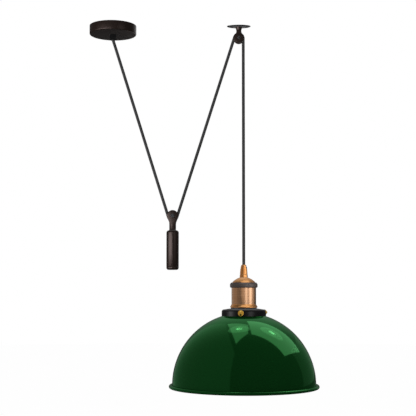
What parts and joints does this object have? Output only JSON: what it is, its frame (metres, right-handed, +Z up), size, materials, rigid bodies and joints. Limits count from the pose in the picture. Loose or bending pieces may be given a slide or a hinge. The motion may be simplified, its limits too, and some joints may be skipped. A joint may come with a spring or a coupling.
{
  "type": "rise and fall pendant",
  "caption": "Ceiling light on a braided cord: rose, cylindrical counterweight on a wheel, ceiling pulley, copper lampholder and a domed metal shade that pulls down and stays.",
  "frame": {"origin": "middle of the ceiling rose, on the ceiling", "axes": "+Z up; +X from the rose towards the lamp; the cord and both wheels lie in the plane y = 0"},
  "size_m": [0.463, 0.3, 0.7321],
  "materials": {
    "bronze_paint": "satin",
    "black_metal": "satin",
    "black_nylon": "satin",
    "zinc_steel": "satin",
    "brass": "polished",
    "copper": "satin",
    "green_enamel": "gloss",
    "porcelain": "gloss",
    "card": "matte",
    "white_nylon": "satin",
    "core_insulation": "satin",
    "braid": "matte"
  },
  "bodies": {
    "ceiling": {"rose_cover": "bronze_paint", "rose_bracket": "zinc_steel", "rose_cover_screws": "bronze_paint", "rose_gland": "black_nylon", "gland_locknut": "black_nylon", "gland_grub_screw": "black_metal", "terminal_block": "white_nylon", "terminal_tubes": "brass", "terminal_screws": "zinc_steel", "terminal_fixing_screw": "zinc_steel", "earth_terminal": "brass", "rose_cores": "core_insulation", "pulley_plate": "black_metal", "pulley_fork": "bronze_paint", "pulley_neck_screw": "zinc_steel", "ceiling_axle": "black_metal", "ceiling_axle_nut": "black_metal", "cord_left_run": "braid", "cord_right_run": "braid", "cord_drop": "braid"},
    "ceiling_wheel": {"ceiling_wheel": "bronze_paint", "ceiling_wheel_bush": "brass"},
    "counterweight": {"weight_fork": "bronze_paint", "weight_axle": "black_metal", "weight_axle_nut": "black_metal", "weight_stud": "zinc_steel", "weight_shell": "bronze_paint", "weight_core": "zinc_steel", "weight_base_cap": "bronze_paint"},
    "weight_wheel": {"weight_wheel": "bronze_paint", "weight_wheel_bush": "brass"},
    "lamp": {"cord_grip": "copper", "grip_collar": "copper", "grip_grub_screw": "zinc_steel", "cap_nipple": "zinc_steel", "nipple_nut": "zinc_steel", "earth_tag": "brass", "holder_cap": "copper", "holder_ring": "black_metal", "holder_shell": "copper", "insulating_liner": "card", "holder_base": "copper", "porcelain_body": "porcelain", "screw_shell": "brass", "centre_contact": "brass", "holder_terminal_screws": "brass", "holder_cores": "core_insulation", "gallery": "black_metal", "shade_ring_nut": "black_metal", "gallery_bosses": "black_metal", "shade_crown": "green_enamel", "shade": "green_enamel"},
    "thumb_screw_front": {"thumb_screw_front": "brass"},
    "thumb_screw_right": {"thumb_screw_right": "brass"},
    "thumb_screw_left": {"thumb_screw_left": "brass"}
  },
  "joints": [
    {"name": "lamp_slide", "type": "slide", "parent": "ceiling", "child": "lamp", "axis": [0, 0, 1], "range_m": [-0.3, 0.095], "deforming": ["cord_drop"]},
    {"name": "counterweight_slide", "type": "slide", "parent": "ceiling", "child": "counterweight", "axis": [0, 0, 1], "range_m": [-0.055, 0.165], "deforming": ["cord_left_run", "cord_right_run"]},
    {"name": "ceiling_wheel_turn", "type": "hinge", "parent": "ceiling", "child": "ceiling_wheel", "pos_m": [0.2565, 0, -0.025], "axis": [0, 1, 0], "continuous": true},
    {"name": "weight_wheel_turn", "type": "hinge", "parent": "counterweight", "child": "weight_wheel", "pos_m": [0.1225, 0, -0.388], "axis": [0, 1, 0], "continuous": true},
    {"name": "thumb_screw_front_travel", "type": "slide", "parent": "lamp", "child": "thumb_screw_front", "axis": [-0.1633, -0.9866, 0], "range_m": [0, 0.003]},
    {"name": "thumb_screw_right_travel", "type": "slide", "parent": "lamp", "child": "thumb_screw_right", "axis": [0.9361, 0.3518, 0], "range_m": [0, 0.003]},
    {"name": "thumb_screw_left_travel", "type": "slide", "parent": "lamp", "child": "thumb_screw_left", "axis": [-0.7727, 0.6347, 0], "range_m": [0, 0.003]}
  ],
  "couplings": [
    {"joint": "counterweight_slide", "follows": "lamp_slide", "ratio": -0.54},
    {"joint": "ceiling_wheel_turn", "follows": "lamp_slide", "rad_per_m": -111.11},
    {"joint": "weight_wheel_turn", "follows": "lamp_slide", "rad_per_m": 57.2}
  ]
}
